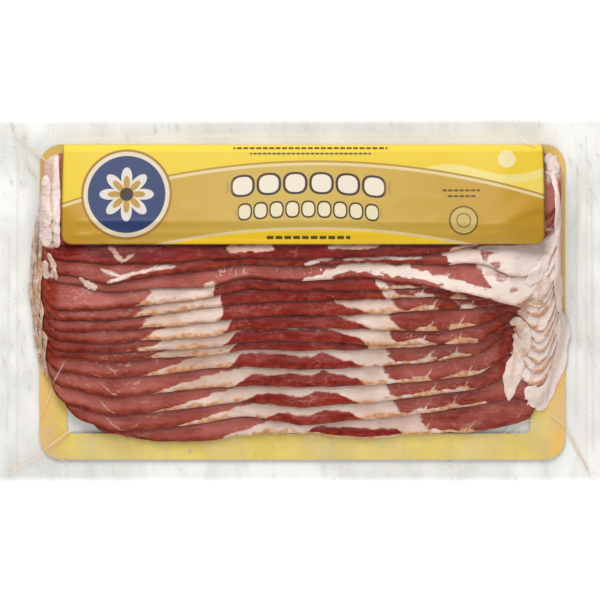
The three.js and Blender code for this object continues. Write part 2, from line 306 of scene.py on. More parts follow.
# The dark lean of the middle: how far in it reaches at places along each slice.
WHOLE = 40.0
DARK_LEAN = [
    ([3.0, 6.0, 12.0, 30.0, 45.0, 51.0], [0.0, 2.6, 4.6, 5.2, 4.0, 0.0]),
    ([-18.5, -10.0, 0.0, 6.0, 12.0, 24.0, 31.0], [0.0, 4.6, 4.6, 5.2, 6.8, 4.2, 0.0]),
    ([-28.5, -20.0, -7.0, 0.0, 8.0, 15.0, 22.0, 29.0], [0.0, 4.4, 5.7, 5.3, 7.5, 6.2, 3.6, 0.0]),
    ([-32.0, -24.0, -12.0, -4.0, 5.0, 11.0, 19.0, 28.0, 31.5],
     [0.0, 5.6, 5.7, 6.7, 5.8, 7.8, 5.9, 3.4, 0.0]),
    ([-34.0, -28.0, -12.0, 0.0, 5.0, 11.0, 16.0, 24.0, 31.0],
     [0.0, 6.4, 7.6, 6.4, 6.2, 8.0, 6.2, 3.6, 0.0]),
    ([-34.5, -32.0, -28.0, 30.0, 31.5, 32.5], [0.0, 2.0, 7.0, 7.0, 3.0, 0.0]),
    ([-37.0, -33.0, -30.5, -17.0, 14.5, 20.0, 28.0, 31.5], [0.0, 3.0, 5.6, 6.0, 6.1, 4.6, 3.2, 0.0]),
    ([-37.0, -34.0, -31.0, -29.0, 15.0, 17.0, 27.0, 34.5],
     [0.0, 3.0, 7.0, WHOLE, WHOLE, 6.2, 3.6, 0.0]),
    ([-39.0, -37.0, -35.0, 14.0, 16.0, 26.0, 34.5], [0.0, 4.0, WHOLE, WHOLE, 6.2, 3.4, 0.0]),
    ([-38.0, -36.0, 36.0, 39.0, 41.0], [0.0, WHOLE, WHOLE, 2.6, 0.0]),
    ([-41.0, -39.0, 33.0, 36.0, 38.0], [0.0, WHOLE, WHOLE, 3.0, 0.0]),
]
# The right lean: where it starts in the middle of a strip, where it ends, and the stretches of
# white along its free edge.
RIGHT_LEAN = [
    (60.0, 119.0, [(40.0, 86.0)]),
    (47.0, 108.0, [(40.0, 91.0)]),
    (43.0, 103.5, [(38.0, 85.0)]),
    (42.5, 101.5, [(38.0, 64.0), (67.0, 92.0)]),
    (42.5, 102.5, [(38.0, 60.0), (66.0, 82.0)]),
    (43.0, 103.0, [(38.0, 65.0), (70.0, 86.0)]),
    (44.0, 104.0, [(38.0, 65.0), (70.0, 86.0)]),
    (44.5, 104.0, [(38.0, 44.0), (55.5, 66.0), (71.0, 84.0)]),
    (46.0, 101.0, [(38.0, 46.0), (51.0, 66.0), (76.0, 83.0)]),
    (45.0, 100.0, [(38.0, 55.0), (58.0, 65.0)]),
    (40.0, 100.0, [(38.0, 56.0)]),
]
# Branching veins of the right lean: place at the free edge, how far they lean over, and width.
RIGHT_VEINS = [(60.0, 0.75, 0.45), (77.5, 0.5, 0.42)]


def band(x, reach, stretch, half_width, blur=0.5):
    """1 near a line that is given by places along the slice and reaches there."""
    line = np.interp(x, *stretch)
    start, end = stretch[0][0], stretch[0][-1]
    inside = ease(x, start - 0.6, start + 1.8) * (1.0 - ease(x, end - 1.8, end + 0.6))
    uneven = half_width * (0.45 + 0.55 * inside) * (1.0 + 0.5 * patches(x, 2.0 * reach, 2.6, 47))
    return ease(uneven - np.abs(reach - line), -blur, blur) * (inside > 0.02)


def slice_pattern(k, x, y, reach):
    """The shares of fat, dark lean, smoke, tan, pink, pale fat and feathered rims of slice k.

    Reach is how far in from the free edge each corner is.
    """
    x = x + 0.8 * patches(x, y, 3.4, 27) + 0.3 * patches(x, y, 1.4, 28)
    wander = 0.3 * patches(x, y, 3.0, 29) + 0.12 * patches(x, y, 1.2, 30)
    reach = reach + ease(reach, 0.2, 1.5) * wander
    streaks = patches(x + 7.0 * k, 5.0 * reach, 7.0, 31)
    teeth = patches(x + 5.0 * k, 1.5 * reach, 1.6, 32)
    fine = 0.26 * patches(x, y, 2.6, 33) + 0.12 * patches(x, y, 1.1, 34)
    along = patches(x, 0.0 * x + 11.0 * k, 5.0, 35)
    level = min(k, 10)

    start, start_in = LEFT_FAT[level]
    edge_of_fat = start + (start_in - start) * np.clip(reach / 8.0, 0.0, 1.3)
    edge_of_fat = edge_of_fat + 2.6 * streaks + 0.5 * teeth
    left_fat = ease(x - edge_of_fat, -1.7, 1.7)
    places, reaches = DARK_LEAN[level]
    top = np.interp(x, places, reaches) + 0.35 * along * (np.interp(x, places, reaches) > 0.5)
    dark = ease(top - reach + fine, -0.6, 0.6) * (top > 0.05)
    if k == 0:
        dark *= ease(reach, 0.5, 0.9)
    outline = dark
    # Painted highlight: further in from the free edge the dark lean fades, so each strip's upper part
    # looks lit.
    dark = dark * (1.0 - 0.3 * ease(reach + 1.2 * streaks, 2.2, 4.8))

    lean_from, lean_to, whites = RIGHT_LEAN[level]
    curve = lean_from + 7.0 * np.exp(-reach / 1.7) - 0.25 * reach
    right_lean = ease(x - curve + 0.4 * teeth + 0.8 * streaks, -1.2, 1.2)
    white_edge = np.zeros_like(x)
    for low, high in whites:
        middle = (high - low) / 2
        taper = np.sqrt(np.clip(1.0 - ((x - low - middle) / middle) ** 2, 0.0, 1.0))
        stroke = ease((1.55 + 0.5 * along) * taper - reach + fine, -0.25, 0.25)
        white_edge = np.maximum(white_edge, stroke * (taper > 0.02))
    past_end = ease(x - (lean_to + 0.3 * reach) + 0.8 * teeth, -0.5, 0.5)

    veins = np.zeros_like(x)
    for at, slant, size in RIGHT_VEINS:
        foot = at + 3.2 * math.sin(2.3 * k + at) + 0.6 * math.sin(5.1 * k)
        centre = foot + (slant + 0.4 * math.sin(3.7 * k + at)) * reach + 2.0 * fine
        stem = ease(size * (1.7 - 0.3 * reach) - np.abs(x - centre), -0.5, 0.4)
        knot = ease(1.7 - np.hypot((x - foot) / 2.4, reach - 0.8) + fine, -0.4, 0.5)
        branch = foot + 2.6 * math.sin(4.3 * k + at) - 2.2 * (reach - 2.0)
        side = 0.55 * ease(0.5 - np.abs(x - branch + 2.0 * fine), -0.7, 0.5)
        side = side * ease(reach, 1.6, 2.6) * (1.0 - ease(reach, 3.2, 5.0))
        veins = np.maximum.reduce([veins, stem, 0.9 * knot, side])
    web = np.abs(patches(x + 2.0 * reach + 4.0 * k, 4.0 * reach, 8.0, 41))
    marbling = 0.45 * ease(0.07 - web, -0.07, 0.05) * ease(patches(x, y, 13.0, 42), 0.0, 0.5)
    if 1 <= k <= 4:
        slope = np.abs(x - (-87.0 + 1.6 * math.sin(2.0 * k) - 1.3 * reach) + fine)
        near = ease(reach, 0.4, 1.2) * (1.0 - ease(reach, 5.5, 8.0))
        marbling = np.maximum(marbling, 0.7 * ease(0.5 - slope, -0.4, 0.3) * near)
    veins = np.maximum(veins * right_lean, marbling * (1.0 - left_fat)) * (1.0 - outline)

    fat = left_fat * (1.0 - right_lean)
    fat = np.maximum(np.maximum(fat, white_edge), past_end) * (1.0 - outline)
    fat = np.maximum(fat, 0.85 * veins * (1.0 - past_end))
    shade = (0.5, 0.55, 0.62, 0.66, 0.62, 0.4, 0.42, 0.5, 0.38, 0.4, 0.95)[level]
    # Pink varies in patches; its last term is a painted highlight, pinker and lighter further in from the
    # free edge.
    pink = shade + 0.32 * patches(x, y, 9.0, 43) + 0.14 * ease(reach, 1.6, 4.0)
    pink = pink - 0.34 * ease(x, 35.0, 45.0)
    smoke = 1.0 - ease(reach, 0.7, 3.2 + 0.9 * along)
    smoke = np.maximum(smoke, ease(x, 92.0, 98.0) * (1.0 - past_end) * (k > 1))
    smoke = np.maximum(smoke, (1.0 - ease(x + 1.5 * streaks, -119.0, -114.5)) * (k > 3))

    feather = 0.25 * ease(x, 44.0, 50.0) * (1.0 - past_end) + 0.12
    if k == 11:
        ridge = ([1.5, 10.0, 22.0, 29.0, 39.0, 48.0, 58.0, 68.0, 77.0, 87.0, 97.0, 105.0],
                 [0.3, 1.2, 5.0, 5.2, 5.4, 5.6, 5.0, 4.3, 2.6, 2.2, 2.6, 2.4])
        half = np.interp(x, [1.0, 12.0, 30.0, 60.0, 90.0, 105.0], [0.8, 1.9, 2.3, 2.6, 3.0, 3.2])
        white_band = band(x, reach, ridge, half + 0.5 * teeth)
        wedge = band(x, reach, ([-107.0, -97.0], [5.5, 1.0]), 1.3)
        corner = ease(x, -47.0, -44.0) * (1.0 - ease(x, -42.0, -38.5)) * (1.0 - ease(reach, 1.6, 2.6))
        feather = ease(x, -48.0, -40.0) * (1.0 - ease(x, 10.0, 18.0)) * ease(reach, 0.8, 3.5)
        beyond = ease(x - (97.0 - 0.9 * reach) + teeth, -0.6, 0.6) * (reach > 2.0)
        beyond -= 0.6 * ease(patches(x, 2.4 * y, 6.0, 48), 0.25, 0.65) * (1.0 - ease(x, 108.0, 113.0))
        outer = past_end * ((reach > 9.0) | (reach < 2.0))
        fat = np.maximum.reduce([white_band, wedge, 0.8 * corner, beyond, outer])
        dark = ease(x, -44.0, -38.0) * (1.0 - ease(x, 20.0, 30.0)) * 0.15
        pink = np.interp(x, [-120.0, -112.0, -100.0, -50.0, -40.0, 5.0, 30.0, 110.0],
                         [0.4, 0.75, 0.45, 0.4, 0.8, 0.75, 0.5, 0.6])
        smoke = (1.0 - ease(reach, 0.5, 1.6)) * ease(x, -45.0, -40.0)
    if k == 12:
        short_arm = band(x, reach, ([-95.0, -86.0], [6.5, 3.2]), 0.8)
        long_arm = band(x, reach, ([-92.0, -75.0, -60.0], [0.8, 3.2, 3.2]), 1.0)
        streak = band(x, reach, ([2.4, 16.0], [1.0, 3.2]), 1.0)
        stripe = band(x, reach, ([21.0, 58.0], [2.2, 2.8]), 0.8)
        wedge = ease(x - (73.0 - 1.1 * reach) + 1.2 * teeth, -0.5, 0.5)
        flecks = ease(patches(x, 2.2 * y, 5.5, 45), 0.2, 0.6)
        flecks = flecks * ease(x, 78.0, 84.0) * (1.0 - ease(x, 110.0, 116.0)) * 0.75
        vee = 0.8 * np.maximum(short_arm, long_arm)
        fat = np.maximum.reduce([vee, 0.9 * streak, 0.75 * stripe, wedge - flecks, past_end])
        dark = ease(x, -75.0, -45.0) * (1.0 - ease(x, 40.0, 60.0)) * 0.8
        pink = np.interp(x, [-120.0, -100.0, -90.0, -60.0, 0.0], [0.35, 0.6, 0.35, 0.6, 0.3])
        smoke = (1.0 - ease(reach, 1.4, 2.8)) * (1.0 - 0.6 * (x < -90.0))
    if k == 13:
        left_arm = band(x, reach, ([-90.5, -84.5], [8.0, 0.2]), 1.9)
        right_arm = band(x, reach, ([-84.5, -79.0], [1.2, 4.2]), 0.9)
        vee = 0.7 * np.maximum(left_arm, right_arm)
        blocks = band(x, reach, ([-34.0, -13.0], [4.6, 4.6]), 1.7)
        blocks = blocks + band(x, reach, ([14.0, 38.0], [5.4, 5.4]), 1.3)
        patch = band(x, reach, ([72.0, 86.0], [0.6, 2.0]), 1.1)
        end = ease(x - 118.0, -1.0, 1.0) * np.maximum(ease(y, 58.0, 61.0), 1.0 - ease(y, 26.0, 30.0))
        fat = np.maximum.reduce([vee, 0.9 * blocks, 0.8 * patch, end])
        # Nearly all dark lean, made this dark partly as painted shade under the label's lower edge.
        dark = 0.95 + 0.0 * x
        pink = 0.3 + 0.3 * patches(x, y, 14.0, 46)
        smoke = (1.0 - ease(reach, 1.0, 2.2)) * 0.8
    if k >= 14:
        left_pieces = (1.0 - ease(x, -117.0, -115.5)) * ease(y, 24.0, 26.5)
        high_or_low = np.maximum(ease(y, 56.0, 60.0), 1.0 - ease(y, 26.0, 29.0))
        right_end = ease(x - 118.0, -1.0, 1.0) * high_or_low
        threads = ease(0.1 - np.abs(patches(x, y, 6.0, 49)), -0.08, 0.06)
        threads = threads * ease(x, 108.0, 114.0) * (1.0 - ease(y, 33.0, 41.0))
        fat = np.maximum.reduce([left_pieces, right_end, 0.7 * threads])
        dark = 0.4 * (1.0 - ease(x, 104.0, 114.0))
        pink = pink + 0.45 * ease(x, 104.0, 114.0)
    fat = np.maximum(fat, (1.0 - ease(x, -118.0, -116.0)) * ease(y, 24.0, 27.0))
    toasting = patches(x, 1.6 * y, 2.4, 37) + 0.5 * patches(x, y, 5.0, 38)
    tan = ease(2.0 + 1.1 * along - reach, -0.5, 0.8) * ease(toasting, -0.65, 0.05)
    if k >= 11:
        tan *= 0.35
    if k in (11, 12):
        pale = 0.38 + 0.3 * ease(x, 92.0, 106.0)
    else:
        pale = ease(x, 96.0, 108.0) * (k < 14)
    return fat, dark, smoke, tan, pink, pale, feather


def start_material(name):
    """A new material without nodes; the functions below add nodes to the one that was started last."""
    global tree
    material = bpy.data.materials.new(name)
    material.use_nodes = True
    tree = material.node_tree
    tree.nodes.clear()
    return material


def node(kind, **settings):
    """Adds a node of this kind to the material."""
    made = tree.nodes.new(kind)
    for name, value in settings.items():
        setattr(made, name, value)
    return made


def link(source, target):
    """Joins an output of one node to an input of another."""
    tree.links.new(source, target)


def attribute(name):
    """The number that paint() kept under this name."""
    return node("ShaderNodeAttribute", attribute_name=name).outputs["Fac"]


def colour(red, green, blue):
    """A colour as seen on a screen, from 0 to 255, as the light that it stands for."""
    parts = []
    for part in (red, green, blue):
        share = part / 255.0
        parts.append(share / 12.92 if share <= 0.04045 else ((share + 0.055) / 1.055) ** 2.4)
    return (*parts, 1.0)


def blend(factor, first, second, mode="MIX"):
    """Goes from the first colour to the second as the factor goes from 0 to 1."""
    mixer = node("ShaderNodeMix", data_type="RGBA", blend_type=mode)
    for socket, value in (("Factor", factor), ("A", first), ("B", second)):
        target = [s for s in mixer.inputs if s.name == socket and s.enabled][0]
        if isinstance(value, (int, float, tuple)):
            target.default_value = value
        else:
            link(value, target)
    return [s for s in mixer.outputs if s.enabled][0]


def graph(operation, *values, clamp=False):
    """One step of arithmetic on numbers or on outputs of nodes."""
    step = node("ShaderNodeMath", operation=operation, use_clamp=clamp)
    for target, value in zip(step.inputs, values):
        if isinstance(value, (int, float)):
            target.default_value = value
        else:
            link(value, target)
    return step.outputs["Value"]


def product(first, *others):
    """All the values multiplied."""
    for other in others:
        first = graph("MULTIPLY", first, other)
    return first


def total(first, *others):
    """All the values added up."""
    for other in others:
        first = graph("ADD", first, other)
    return first


def rest_of(share):
    """What a share leaves of 1."""
    return graph("SUBTRACT", 1.0, share)


def grain(scale, stretch=(1.0, 1.0, 1.0), detail=3.0, rough=0.55, turn=0.0):
    """Cloudy noise from 0 to 1, stretched along the axes and turned about the vertical."""
    where = node("ShaderNodeTexCoord").outputs["Object"]
    mapping = node("ShaderNodeMapping", vector_type="TEXTURE")
    mapping.inputs["Scale"].default_value = [1.0 / share for share in stretch]
    mapping.inputs["Rotation"].default_value = (0.0, 0.0, turn)
    link(where, mapping.inputs["Vector"])
    noise = node("ShaderNodeTexNoise")
    noise.inputs["Scale"].default_value = scale
    noise.inputs["Detail"].default_value = detail
    noise.inputs["Roughness"].default_value = rough
    link(mapping.outputs["Vector"], noise.inputs["Vector"])
    return noise.outputs["Fac"]


def stretch_range(value, low, high, to_low=0.0, to_high=1.0):
    """Stretches the range from low to high to the new range, and stops at its ends."""
    ramp = node("ShaderNodeMapRange", clamp=True)
    ramp.inputs["From Min"].default_value = low
    ramp.inputs["From Max"].default_value = high
    ramp.inputs["To Min"].default_value = to_low
    ramp.inputs["To Max"].default_value = to_high
    link(value, ramp.inputs["Value"])
    return ramp.outputs["Result"]


def hairlines(value, width):
    """1 on thin winding lines, where a grain crosses its middle value."""
    return stretch_range(graph("ABSOLUTE", graph("SUBTRACT", value, 0.5)), width, 0.0)


bacon = start_material("bacon")
broad = stretch_range(grain(55.0), 0.35, 0.65)
fibres = stretch_range(grain(150.0, (1.0, 5.0, 1.0), 4.0), 0.35, 0.65)
veins = hairlines(grain(230.0, (1.0, 0.4, 1.0), 3.0), 0.035)
veins = product(veins, stretch_range(grain(90.0), 0.4, 0.6))
marbling = hairlines(grain(120.0, (1.0, 1.6, 1.0), 4.0), 0.03)
marbling = product(marbling, stretch_range(grain(70.0), 0.45, 0.65))
# Painted fold shade: thin darker lines at the right end stand for pleats in the fat; the bump also cuts
# them as grooves.
pleat_shade_lines = hairlines(grain(95.0, (0.22, 1.0, 1.0), 2.0, turn=math.radians(72.0)), 0.035)
pleat_shade_lines = product(pleat_shade_lines, stretch_range(attribute("pale"), 0.55, 0.95))
specks = stretch_range(grain(900.0, detail=2.0), 0.3, 0.7)
uneven_pink = product(graph("SUBTRACT", broad, 0.5), 0.5)
pink_share = graph("ADD", attribute("pink"), uneven_pink, clamp=True)
pink_lean = blend(pink_share, colour(118, 32, 22), colour(167, 90, 80))
pink_lean = blend(product(fibres, 0.3), pink_lean, colour(174, 100, 87))
dark_lean = blend(broad, colour(96, 4, 2), colour(130, 14, 11))
dark_lean = blend(product(fibres, 0.18), dark_lean, colour(146, 36, 30))
lean = blend(attribute("dark"), pink_lean, dark_lean)
lean = blend(product(marbling, 0.3), lean, colour(206, 158, 146))
# Painted sheen: pale streaks along the lean stand for glossy reflections through the film.
painted_sheen_streaks = stretch_range(grain(60.0, (1.0, 4.0, 1.0), 4.0), 0.5, 0.7)
lean = blend(product(painted_sheen_streaks, 0.24), lean, colour(188, 122, 116))
smoked_lean = blend(stretch_range(grain(260.0), 0.35, 0.65), colour(98, 18, 6), colour(150, 50, 22))
lean = blend(product(attribute("smoke"), 0.88), lean, smoked_lean)
fat = blend(broad, colour(192, 162, 146), colour(222, 202, 192))
fat = blend(product(specks, 0.25), fat, colour(208, 176, 160))
gristle = stretch_range(grain(120.0, (1.0, 2.5, 1.0), 5.0, 0.7), 0.54, 0.7)
fat = blend(product(gristle, 0.45), fat, colour(204, 154, 134))
fat = blend(stretch_range(attribute("pale"), 0.0, 0.55, 0.0, 0.6), fat, colour(238, 226, 221))
fat = blend(product(pleat_shade_lines, 0.6), fat, colour(206, 146, 122))
toasted = blend(stretch_range(grain(420.0), 0.4, 0.6), colour(208, 164, 112), colour(184, 108, 48))
fat = blend(product(attribute("tan"), 0.85), fat, toasted)
edge_noise = product(graph("SUBTRACT", grain(620.0, (1.0, 1.0, 1.0), 4.0, 0.7), 0.5), 0.8)
threads = product(graph("SUBTRACT", grain(230.0, (1.0, 4.0, 1.0), 3.0, 0.6), 0.5), 0.8)
fat_field = total(attribute("fat"), product(veins, attribute("feather"), 0.7), edge_noise, threads)
fat_share = stretch_range(fat_field, 0.15, 0.85)
# Painted shade: the crevice colour is multiplied in where the next slice or the label's edge casts shade.
crevice_shade_colour = blend(fat_share, colour(150, 80, 64), colour(226, 176, 148))
flesh = blend(fat_share, lean, fat)
flesh = blend(product(attribute("painted_crevice_shade"), 0.5), flesh, crevice_shade_colour, "MULTIPLY")
shader = node("ShaderNodeBsdfPrincipled")
link(flesh, shader.inputs["Base Color"])
link(stretch_range(fibres, 0.0, 1.0, 0.34, 0.5), shader.inputs["Roughness"])
shader.inputs["Specular IOR Level"].default_value = 0.08
shader.inputs["Coat Weight"].default_value = 0.04
shader.inputs["Coat Roughness"].default_value = 0.22
bump = node("ShaderNodeBump")
bump.inputs["Strength"].default_value = 0.35
bump.inputs["Distance"].default_value = 0.0004
relief = graph("SUBTRACT", total(product(fibres, 1.5), specks), product(pleat_shade_lines, 2.0))
link(relief, bump.inputs["Height"])
link(bump.outputs["Normal"], shader.inputs["Normal"])
link(shader.outputs["BSDF"], node("ShaderNodeOutputMaterial").inputs["Surface"])

# Crevices are darkened with painted shade: under the next slice's edge, and under the label's lower edge.
LABEL_MIDDLE, LABEL_HALF_LENGTH, LABEL_SHADE_EDGE = 1.4, 115.9, 25.5
LABEL_SHADE = {13: 0.9}
FIELDS = ("fat", "dark", "smoke", "tan", "pink", "pale", "feather")
for k in range(SLICE_COUNT):
    piece = shape_slice(k)
    x, y, _ = corners_of(piece)
    for field_name, values in zip(FIELDS, slice_pattern(k, x, y, y - slice_edges(k, x)[0])):
        paint(piece, field_name, values)
    shadow = 0.0 * x
    if k + 1 < SLICE_COUNT:
        cover = slice_edges(k + 1, np.clip(x, *slice_ends(k + 1)))[0] - y
        shadow = 1.0 - ease(cover, -0.2, 1.1)
    below_label = 1.0 - ease(LABEL_SHADE_EDGE - y, 1.5, 6.5)
    below_label = below_label * (np.abs(x - LABEL_MIDDLE) < LABEL_HALF_LENGTH)
    paint(piece, "painted_crevice_shade", np.maximum(shadow, LABEL_SHADE.get(k, 0.35) * below_label))
    piece.data.materials.append(bacon)
    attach(piece, "root")
    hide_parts(f"slice_{k + 1:02d}")

# The heap is measured on squares of this size, so that the loose ends, the label and the film
# can be laid over it.
SQUARE = 0.625
HEAP_XS = np.arange(-145.0, 145.01, SQUARE)
HEAP_YS = np.arange(-86.875, 86.9, SQUARE)
GRID_X, GRID_Y = np.meshgrid(HEAP_XS, HEAP_YS, indexing="ij")
REACH_IN_SQUARES = 56


def slice_top(k, x, y):
    """The height of the upper face of slice k."""
    return slice_base(k, x, y) + end_share(x) * SLICE_PITCH - SLICE_GAP


def stack_height():
    """The top of the shingled slices on every square, and 0 beside them."""
    top = np.zeros_like(GRID_X)
    for k in range(SLICE_COUNT):
        left, right = slice_ends(k)
        free, far = slice_edges(k, GRID_X)
        inside = (GRID_X > left) & (GRID_X < right) & (GRID_Y > free) & (GRID_Y < far)
        top = np.where(inside, slice_top(k, GRID_X, GRID_Y), top)
    return top


def laid_over(heights, slope):
    """The lowest surface over these heights that is nowhere steeper than slope."""
    drop = slope * SQUARE
    straight = [((-1, 0), drop), ((1, 0), drop), ((0, -1), drop), ((0, 1), drop)]
    slanting = [((i, j), 1.414 * drop) for i in (1, -1) for j in (1, -1)]
    for _ in range(REACH_IN_SQUARES):
        for way, fall in straight + slanting:
            heights = np.maximum(heights, np.roll(heights, way, (0, 1)) - fall)
    return heights


def softened(heights, times):
    """Heights blended with their neighbours this many times."""
    for _ in range(times):
        for axis in (0, 1):
            heights = (np.roll(heights, 1, axis) + 2.0 * heights + np.roll(heights, -1, axis)) / 4.0
    return heights


def read_heights(heights, x, y):
    """The height at any place, from the squares round it."""
    u = np.clip((x - HEAP_XS[0]) / SQUARE, 0.0, len(HEAP_XS) - 1.001)
    v = np.clip((y - HEAP_YS[0]) / SQUARE, 0.0, len(HEAP_YS) - 1.001)
    i = np.floor(u).astype(int)
    j = np.floor(v).astype(int)
    return between_corners(heights, i, j, u - i, v - j)


STACK = stack_height()

# Loose ends: strips and lumps of fat that were pressed out at both ends of the heap. Crumpled
# strands lie along its left end; folded flaps and smooth lobes lie at the right.
REST_SLOPE = 1.3
REST = softened(laid_over(STACK, REST_SLOPE), 3)
STRIP_COLUMNS = 110
STRIP_ROUND = 22
LOWEST_REST = 1.2


def soft_strip(name, path, half_widths, thickness, toasted_share, pinkness=0.6, ripple=0.0, blush=0.0):
    """A flattened roll of fat along a path of (x, y) places in millimetres, laid on the heap."""
    ts = np.linspace(0.0, 1.0, len(path))
    fine_t = np.linspace(0.0, 1.0, 201)
    soft = np.exp(-0.5 * (np.arange(-20, 21) / 9.0) ** 2)
    soft /= soft.sum()
    line = []
    for axis in (0, 1):
        straight = np.interp(fine_t, ts, [place[axis] for place in path])
        before = 2 * straight[0] - straight[20:0:-1]
        after = 2 * straight[-1] - straight[-2:-22:-1]
        line.append(np.convolve(np.concatenate([before, straight, after]), soft, mode="valid"))
    width_t = np.linspace(0.0, 1.0, len(half_widths))
    seed = sum(map(ord, name))

    def place(i, j):
        t = i / STRIP_COLUMNS
        middle_x = np.interp(t, fine_t, line[0])
        middle_y = np.interp(t, fine_t, line[1])
        ahead_x = np.interp(t, fine_t, np.gradient(line[0]))
        ahead_y = np.interp(t, fine_t, np.gradient(line[1]))
        length = np.maximum(np.hypot(ahead_x, ahead_y), 1e-6)
        ends = np.sqrt(np.clip(1.0 - (2.0 * t - 1.0) ** 8, 0.0, 1.0)) + 0.02
        uneven = 1.0 + 0.26 * patches(40.0 * t, 0.0 * t, 4.5, seed)
        half = np.interp(t, width_t, half_widths) * ends * uneven
        angle = 2.0 * math.pi * j / STRIP_ROUND
        aside = half * np.cos(angle)
        x = middle_x - ahead_y / length * aside
        y = middle_y + ahead_x / length * aside
        lumps = 1.0 + 0.22 * patches(x, y, 4.0, seed + 1)
        lumps = lumps + ripple * np.sin(3.2 * aside + 1.5 * patches(x, y, 7.0, seed + 2))
        rise = thickness * ends * lumps * (0.35 + 0.65 * np.sin(angle))
        return x, y, np.maximum(read_heights(REST, x, y), LOWEST_REST) + rise + 0.15 * thickness

    piece = grid_object(name, STRIP_COLUMNS, STRIP_ROUND, place, close_round=True)
    x, y, z = corners_of(piece)
    toasted = toasted_share * (0.6 + 0.8 * patches(x, y, 2.4, seed + 3))
    toasted = toasted + 0.5 * toasted_share * patches(x, y, 0.9, seed + 4)
    paint(piece, "fat", 1.0 - blush * ease(patches(x, y, 3.0, seed + 5), 0.1, 0.5))
    paint(piece, "tan", toasted)
    paleness = 0.8 if name.startswith(("right", "left_pale", "left_white")) else 0.3
    for field_name, value in (("smoke", 0.3), ("pink", pinkness), ("pale", paleness)):
        paint(piece, field_name, value + 0.0 * x)
    for field_name in ("dark", "painted_crevice_shade", "feather"):
        paint(piece, field_name, 0.0 * x)
    piece.data.materials.append(bacon)
    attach(piece, "root")
    i = np.clip(np.rint((x - HEAP_XS[0]) / SQUARE).astype(int), 0, len(HEAP_XS) - 1)
    j = np.clip(np.rint((y - HEAP_YS[0]) / SQUARE).astype(int), 0, len(HEAP_YS) - 1)
    np.maximum.at(STACK, (i, j), z)


# Each strand of the left end: where it starts and ends, and how far it bows outward.
for number, (top_y, low_y, top_x, low_x, bow) in enumerate([
    (30.0, -8.0, -128.9, -128.2, -1.2),
    (26.0, -18.0, -127.3, -126.4, -1.8),
    (14.0, -26.0, -128.4, -125.0, -1.0),
    (6.0, -36.0, -126.2, -121.4, -1.2),
    (32.0, 2.0, -125.6, -127.2, 0.8),
    (-6.0, -34.0, -127.8, -123.0, -0.4),
    (42.0, 16.0, -126.2, -128.4, -0.4),
    (20.0, -6.0, -125.8, -126.0, 0.6),
    (2.0, -24.0, -128.6, -126.4, 0.4),
    (-14.0, -40.0, -125.2, -120.4, -0.5),
]):
    x, y = (top_x + low_x) / 2 + bow, (top_y + low_y) / 2
    wavy = [(top_x, top_y), (x + 1.0, y + 9.0), (x, y), (x - 0.6, y - 6.0), (low_x, low_y)]
    widths = [0.5, 1.0, 0.7, 1.1, 0.5]
    soft_strip(f"left_strand_{number + 1:02d}", wavy, widths, 1.0, 0.75 + 0.2 * (number % 3), ripple=0.45)

soft_strip("left_pale_strip", [(-122.2, 60.0), (-122.8, 42.0), (-121.8, 25.5)],
           [2.2, 3.3, 3.1, 3.3], 0.5, 0.04, ripple=0.06, blush=0.35)
soft_strip("left_white_strip", [(-117.4, 69.0), (-116.9, 48.0), (-116.4, 25.0)],
           [1.5, 1.9, 1.8, 2.1], 0.8, 0.0)
soft_strip("left_fat_lump", [(-121.0, 22.5), (-118.4, 17.5), (-116.6, 9.5)],
           [0.8, 1.5, 1.2, 0.9], 1.0, 0.5, blush=0.25)
soft_strip("left_pink_lump", [(-122.8, 19.0), (-121.4, 13.5), (-119.0, 8.5)],
           [1.2, 2.6, 2.2, 1.2], 0.6, 0.25, pinkness=0.4, blush=0.9)
soft_strip("left_tan_wedge", [(-105.6, 10.8), (-101.5, 7.5), (-97.6, 4.8)],
           [0.7, 1.3, 1.5, 0.7], 0.4, 0.35)
soft_strip("right_flap", [(104.2, -23.5), (104.0, -30.0), (101.8, -38.0), (100.6, -48.6)],
           [1.4, 2.4, 4.8, 5.4, 3.6, 1.0], 0.6, 0.25, ripple=0.08, blush=0.1)
soft_strip("right_curl", [(100.8, -11.6), (104.0, -9.6), (107.4, -14.0), (108.6, -21.0), (106.4, -27.0)],
           [1.6, 2.4, 2.4, 2.0], 0.9, 0.6, ripple=0.15)
soft_strip("right_inner_curl", [(102.8, -16.0), (104.6, -20.5), (103.6, -26.0)],
           [1.2, 1.9, 1.2], 1.2, 0.3)
soft_strip("right_outer_lobe",
           [(125.6, -4.0), (127.4, -16.0), (125.0, -32.0), (119.4, -44.0), (117.4, -52.0)],
           [1.4, 3.2, 3.6, 3.6, 2.0], 0.45, 0.05, ripple=0.12, blush=0.1)
soft_strip("right_low_lobe", [(108.6, -42.5), (113.8, -46.5), (118.6, -52.6)],
           [2.6, 5.0, 5.2, 2.6], 0.6, 0.1, ripple=0.08, blush=0.15)
soft_strip("right_upper_lump", [(108.4, 7.5), (112.0, 11.0), (116.4, 16.5), (119.0, 22.0)],
           [2.8, 3.4, 3.0, 2.4], 0.7, 0.05, ripple=0.1)
soft_strip("right_cream_lump", [(112.4, 0.4), (116.0, 4.8), (119.6, 10.6)],
           [2.0, 2.8, 2.2], 0.8, 0.35, ripple=0.1)
soft_strip("right_rim_fold", [(123.2, 24.0), (124.0, 8.0), (125.0, -6.0)],
           [1.2, 1.9, 1.6], 0.9, 0.06, ripple=0.15)
soft_strip("right_edge_strip", [(117.6, 61.8), (121.6, 59.6), (123.4, 51.0), (123.8, 39.0), (123.4, 25.0)],
           [0.9, 1.3, 1.3, 1.5, 1.8, 1.5], 0.6, 0.04, ripple=0.08)
soft_strip("right_high_lobe", [(118.0, 69.4), (120.8, 66.6), (123.4, 60.6)],
           [2.2, 3.4, 2.2], 0.7, 0.04, ripple=0.1, blush=0.3)

